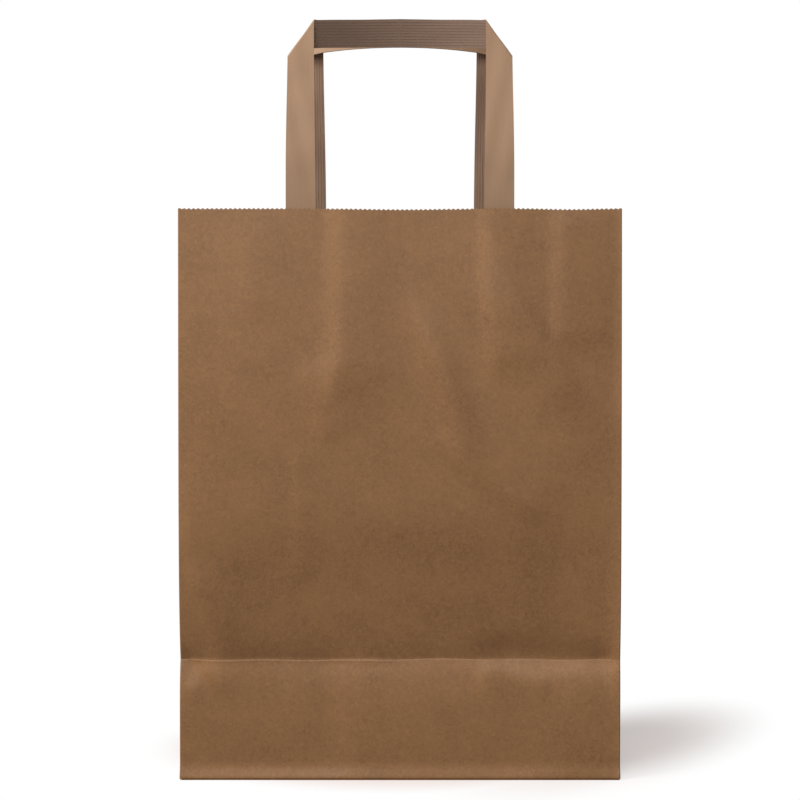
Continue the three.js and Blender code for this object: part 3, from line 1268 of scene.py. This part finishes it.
def rib_tree() -> Tree:
    """Build the node tree that sweeps a round rib along every line of a mesh.

    Returns:
        The geometry node tree.
    """
    tree = bpy.data.node_groups.new("tape_ribs", "GeometryNodeTree")
    sockets = (("Geometry", "INPUT", "Geometry"), ("Rib Radius", "INPUT", "Float"),
               ("Rib Sides", "INPUT", "Int"), ("Rib Paper", "INPUT", "Material"),
               ("Geometry", "OUTPUT", "Geometry"))
    for name, way, kind in sockets:
        tree.interface.new_socket(name, in_out=way, socket_type=f"NodeSocket{kind}")
    given = add_node(tree, "NodeGroupInput").outputs
    lines = add_node(tree, "GeometryNodeMeshToCurve", Mesh=given["Geometry"])
    section = add_node(tree, "GeometryNodeCurvePrimitiveCircle", Resolution=given["Rib Sides"],
                       Radius=given["Rib Radius"])
    swept = add_node(tree, "GeometryNodeCurveToMesh", Curve=lines.outputs[0], in_1=section.outputs[0],
                     Fill_Caps=True)
    rounded = add_node(tree, "GeometryNodeSetShadeSmooth", Geometry=swept.outputs[0])
    real = add_node(tree, "GeometryNodeRealizeInstances", Geometry=rounded.outputs[0])
    papered = add_node(tree, "GeometryNodeSetMaterial", Geometry=real.outputs[0], Material=given["Rib Paper"])
    add_node(tree, "NodeGroupOutput", Geometry=papered.outputs[0])
    return tree


@dataclass
class MouthPatch:
    """A strip of paper glued over both legs of a handle inside the mouth."""

    mouth: MouthFrame
    width: float = 160 * MM
    height: float = 50 * MM
    drop: float = 5 * MM
    paper: float = 0.2 * MM
    glue: float = 0.25 * MM
    leg_inner: float = 46 * MM
    leg_outer: float = 62 * MM
    leg_rise: float = 0.75 * MM
    step: float = 2.5 * MM
    wave_height: float = 0.12 * MM
    wave: Ripple = Ripple(160.0, 70.0)
    across: int = 96
    rows: int = 14
    crisp_angle: float = 40.0

    def build(self) -> Piece:
        """Build the patch as a thin sheet that steps up over the legs.

        Returns:
            The finished piece.
        """
        x = np.linspace(-self.width / 2, self.width / 2, self.across + 1)
        up = np.linspace(-self.drop - self.height, -self.drop, self.rows + 1)
        rows, cols = np.meshgrid(up, x, indexing="ij")
        away = np.abs(cols)
        over = smooth((away - self.leg_inner + self.step) / self.step)
        over = over * smooth((self.leg_outer + self.step - away) / self.step)
        ripple = self.wave_height * self.wave.sway(cols, rows)
        points = self.mouth.place(cols, over * self.leg_rise + ripple + self.glue, rows)
        faces = grid_faces(self.rows + 1, self.across + 1)
        piece = plain_object(self.mouth.named("mouth_patch"), points.reshape(-1, 3), faces)
        thicken(piece, self.paper, 1.0)
        round_off(piece, self.crisp_angle)
        return piece

    def dress(self, piece: Piece, paper: Material) -> None:
        """Give the patch its paper and hand it to the frame.

        Args:
            piece: The patch.
            paper: Its material.
        """
        piece.data.materials.append(paper)
        hand_over(piece, self.mouth.named("patch"))
        below = [self.mouth.named("tape"), "kraft_bag"]


@dataclass(frozen=True)
class SoftLamp:
    """A square studio lamp aimed at a point."""

    name: str
    place: tuple[float, float, float]
    size: float
    power: float
    aim: tuple[float, float, float] = (0.0, 0.0, 0.2)

    def build(self) -> None:
        """Hang the lamp in the scene with its top up."""
        lamp = bpy.data.lights.new(self.name, "AREA")
        lamp.shape = "SQUARE"
        lamp.size = self.size
        lamp.energy = self.power
        holder = hang(self.name, lamp)
        holder.location = self.place
        x, y, z = np.subtract(self.aim, self.place)
        holder.rotation_euler = (math.pi / 2 + math.atan2(z, math.hypot(x, y)), 0.0, math.atan2(-x, y))


@dataclass
class Studio:
    """Plain pale floor, soft lamps, white background and the camera at the photograph's angle."""

    camera_place: tuple[float, float, float] = (0.0, -0.856, 0.272)
    camera_tilt: float = 2.74
    lens: float = 66.9
    shift: float = -0.0622
    floor_size: float = 6.0
    floor_drop: float = 0.1 * MM
    ambient: float = 0.25
    lamps: tuple[SoftLamp, ...] = ()

    def build_floor(self) -> None:
        """Lay the floor under the bag."""
        half = self.floor_size / 2
        corners = ((-half, -half), (half, -half), (half, half), (-half, half))
        floor = plain_object("studio_floor", [(x, y, -self.floor_drop) for x, y in corners], [(0, 1, 2, 3)])
        floor.data.materials.append(StudioWhite().material())

    def build_world(self) -> None:
        """Light the scene evenly from all round, in front of a white background."""
        world = bpy.data.worlds.new("white_studio")
        world.use_nodes = True
        tree = world.node_tree
        tree.nodes.clear()
        rays = add_node(tree, "ShaderNodeLightPath").outputs
        mirrored = add_node(tree, "ShaderNodeMath", {"operation": "MAXIMUM"}, in_0=rays["Is Glossy Ray"],
                            in_1=rays["Is Transmission Ray"])
        seen = add_node(tree, "ShaderNodeMath", {"operation": "MAXIMUM"}, in_0=rays["Is Camera Ray"],
                        in_1=mirrored.outputs[0])
        glow, white = [add_node(tree, "ShaderNodeBackground", Color=WHITE, Strength=strength).outputs[0]
                       for strength in (self.ambient, 1.0)]
        mixed = add_node(tree, "ShaderNodeMixShader", in_0=seen.outputs[0], in_1=glow, in_2=white)
        add_node(tree, "ShaderNodeOutputWorld", Surface=mixed.outputs[0])
        bpy.context.scene.world = world

    def build_camera(self) -> None:
        """Set the camera in front of the bag, just under the height of the mouth."""
        eye = bpy.data.cameras.new("front_camera")
        eye.lens = self.lens
        eye.shift_y = self.shift
        holder = hang("front_camera", eye)
        holder.location = self.camera_place
        holder.rotation_euler = (math.pi / 2 - math.radians(self.camera_tilt), 0.0, 0.0)
        bpy.context.scene.camera = holder

    def build(self) -> None:
        """Set up the whole studio."""
        self.build_floor()
        self.build_world()
        for lamp in self.lamps:
            lamp.build()
        self.build_camera()
        bpy.context.scene.view_settings.view_transform = "Standard"


# Each finish: its name, then its middle, pale and deep tone.
# Warm mid brown; the mottle and the streaks keep the big panels from looking flat.
KRAFT = KraftPaper("uncoated brown kraft paper", "#815b38", "#946c45", "#6e4b2d")
# A shade lighter, so that the patches show as a second layer inside the mouth.
PATCH_KRAFT = KraftPaper("brown kraft patch paper", "#845c37", "#997045", "#7b5432")
# Smooth and pinkish, lighter than the bag, so that the legs stand out against it.
TAPE_OUTSIDE = HandleTape("machine-glazed kraft tape", "#907157", "#9e8063", "#84684e")
# Dull and grey-brown, so that the ribs read as fine dark lines under the grip. The front copy is darkened a
# little further as painted shade on the grip; the rear copy is lightened as painted light where the front
# legs shade the rear legs.
TAPE_INSIDES = {
    # Painted shade: a little darker than the tape's own inner colour, to darken the front grip.
    Side.FRONT: HandleTape("ribbed kraft tape", "#786152", "#866d5e", "#6b5546", roughness=0.8),
    # Painted light: lighter than the tape's own inner colour, where the front legs shade the rear legs.
    Side.REAR: HandleTape("ribbed kraft tape with painted light", "#8c705c", "#9a7e69", "#7d634f", roughness=0.8),
}

# Each fold below: its line, its height and its width in millimetres, its form, and its taper in widths
FRONT_FOLDS = (
    # Legs of the handle showing through the mouth
    SoftFold(((-38, 230), (-36, 248), (-36, 320)), 2.2, 7.0, FoldForm.SLOPE, 3.0),
    SoftFold(((48, 232), (45, 262), (44, 320)), 1.5, 5.5, FoldForm.SLOPE),
    SoftFold(((84, 246), (83, 298)), 1.1, 5.0, FoldForm.SLOPE),
    SoftFold(((-84, 262), (-84, 293)), 0.45, 6.0, FoldForm.SLOPE),
    # Creases in the middle of the panel
    SoftFold(((21, 228), (28, 210)), 2.2, 6.0, FoldForm.RIDGE, 5.0),
    SoftFold(((64, 146), (30, 172)), 1.0, 5.0, FoldForm.SLOPE, 3.0),
    SoftFold(((71, 254), (88, 228)), 1.6, 4.5, FoldForm.SLOPE, 6.0),
    SoftFold(((-58, 116), (-58, 177)), 0.35, 2.5, FoldForm.SLOPE),
    SoftFold(((-45, 192), (-52, 216)), 0.8, 4.5, FoldForm.SLOPE),
    SoftFold(((-115, 140), (0, 142), (55, 138)), 0.9, 14.0, FoldForm.RIDGE),
    SoftFold(((-114, 120), (-98, 114)), -0.8, 9.0, FoldForm.RIDGE),
    # Dents at both ends of the cross fold, its two pressed edges, and the strip below it
    SoftFold(((58, 68), (85, 66), (112, 63)), -1.4, 6.5, FoldForm.RIDGE),
    SoftFold(((-102, 66), (-113, 104)), 2.0, 6.5, FoldForm.SLOPE, 3.0),
    SoftFold(((-112, 59), (-110, 56)), -1.7, 3.6, FoldForm.RIDGE, 5.0),
    SoftFold(((-114, 53), (-109, 59)), 0.9, 3.4, FoldForm.SLOPE, 1.8),
    SoftFold(((50, 63), (78, 55)), 0.9, 2.8, FoldForm.SLOPE, 1.5),
    SoftFold(((-116, 63.9), (-14, 63.9)), 0.3, 0.7, FoldForm.RIDGE, 12.0),
    SoftFold(((-14, 63.9), (116, 63.9)), 0.14, 0.7, FoldForm.RIDGE, 12.0),
    SoftFold(((-38, 24), (-36, 58)), -0.9, 9.0, FoldForm.RIDGE),
    SoftFold(((94, 12), (94, 46)), 0.9, 12.0, FoldForm.RIDGE),
    SoftFold(((52, 61), (112, 56)), 0.3, 4.0, FoldForm.RIDGE),
)

REAR_FOLDS = (
    SoftFold(((-46, 232), (-48, 320)), 1.4, 7.0, FoldForm.SLOPE),
    SoftFold(((46, 240), (40, 320)), 1.6, 7.5, FoldForm.SLOPE),
    SoftFold(((-70, 210), (-40, 185), (-20, 150)), 1.1, 9.0, FoldForm.RIDGE),
    SoftFold(((30, 190), (55, 150), (70, 120)), 0.9, 9.0, FoldForm.RIDGE),
    SoftFold(((80, 30), (100, 58)), 0.8, 6.0, FoldForm.SLOPE),
)

# The last two are the centre crease and the diagonal creases over the base
GUSSET_FOLDS = (
    SoftFold(((-34, 260), (-20, 170)), 0.7, 8.0, FoldForm.RIDGE),
    SoftFold(((30, 220), (24, 120)), -0.6, 9.0, FoldForm.RIDGE),
    SoftFold(((-48, 66), (48, 66)), -0.5, 2.0, FoldForm.RIDGE),
    SoftFold(((0, 62), (0, 320)), 0.35, 0.9, FoldForm.RIDGE),
    SoftFold(((-58, 2), (0, 60), (58, 2)), 0.4, 1.4, FoldForm.RIDGE, 4.0),
)

LAMPS = (
    SoftLamp("key_lamp", place=(-2.1, -0.66, 1.7), size=0.8, power=76.0),
    SoftLamp("back_lamp", place=(1.2, 1.1, 1.1), size=1.0, power=10.0),
    SoftLamp("fill_lamp", place=(-0.15, -1.1, 1.0), size=0.8, power=10.0),
)


def report(piece: Piece) -> None:
    """Log a finished piece."""
    LOG.info("%s: %d faces", piece.name, len(piece.data.polygons))


def main() -> None:
    """Build every piece in order, dress it and report it."""
    logging.basicConfig(level=logging.INFO, format="%(name)s: %(message)s")
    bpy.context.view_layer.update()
    patch_paper = PATCH_KRAFT.material()
    outside = TAPE_OUTSIDE.material()
    sheet = BagSheet(front_folds=FRONT_FOLDS, rear_folds=REAR_FOLDS, gusset_folds=GUSSET_FOLDS)
    bag = sheet.build()
    sheet.dress(bag, KRAFT.material())
    report(bag)
    handles = (
        TapeHandle(MouthFrame(sheet, Side.FRONT), length=109.0 * MM, tuck=46 * MM, lean=17.0, arch=5.2 * MM,
                   drop=6.9 * MM, flare=1.0 * MM),
        TapeHandle(MouthFrame(sheet, Side.REAR), length=113.0 * MM, tuck=42.5 * MM, lean=4.0, arch=2.5 * MM,
                   drop=2.8 * MM, flare=0.2 * MM),
    )
    for handle in handles:
        tape = handle.build()
        handle.dress(tape, outside, TAPE_INSIDES[handle.mouth.side].material())
        report(tape)
        cover = MouthPatch(handle.mouth)
        patch = cover.build()
        cover.dress(patch, patch_paper)
        report(patch)
    Studio(lamps=LAMPS).build()


if __name__ == "__main__":
    main()
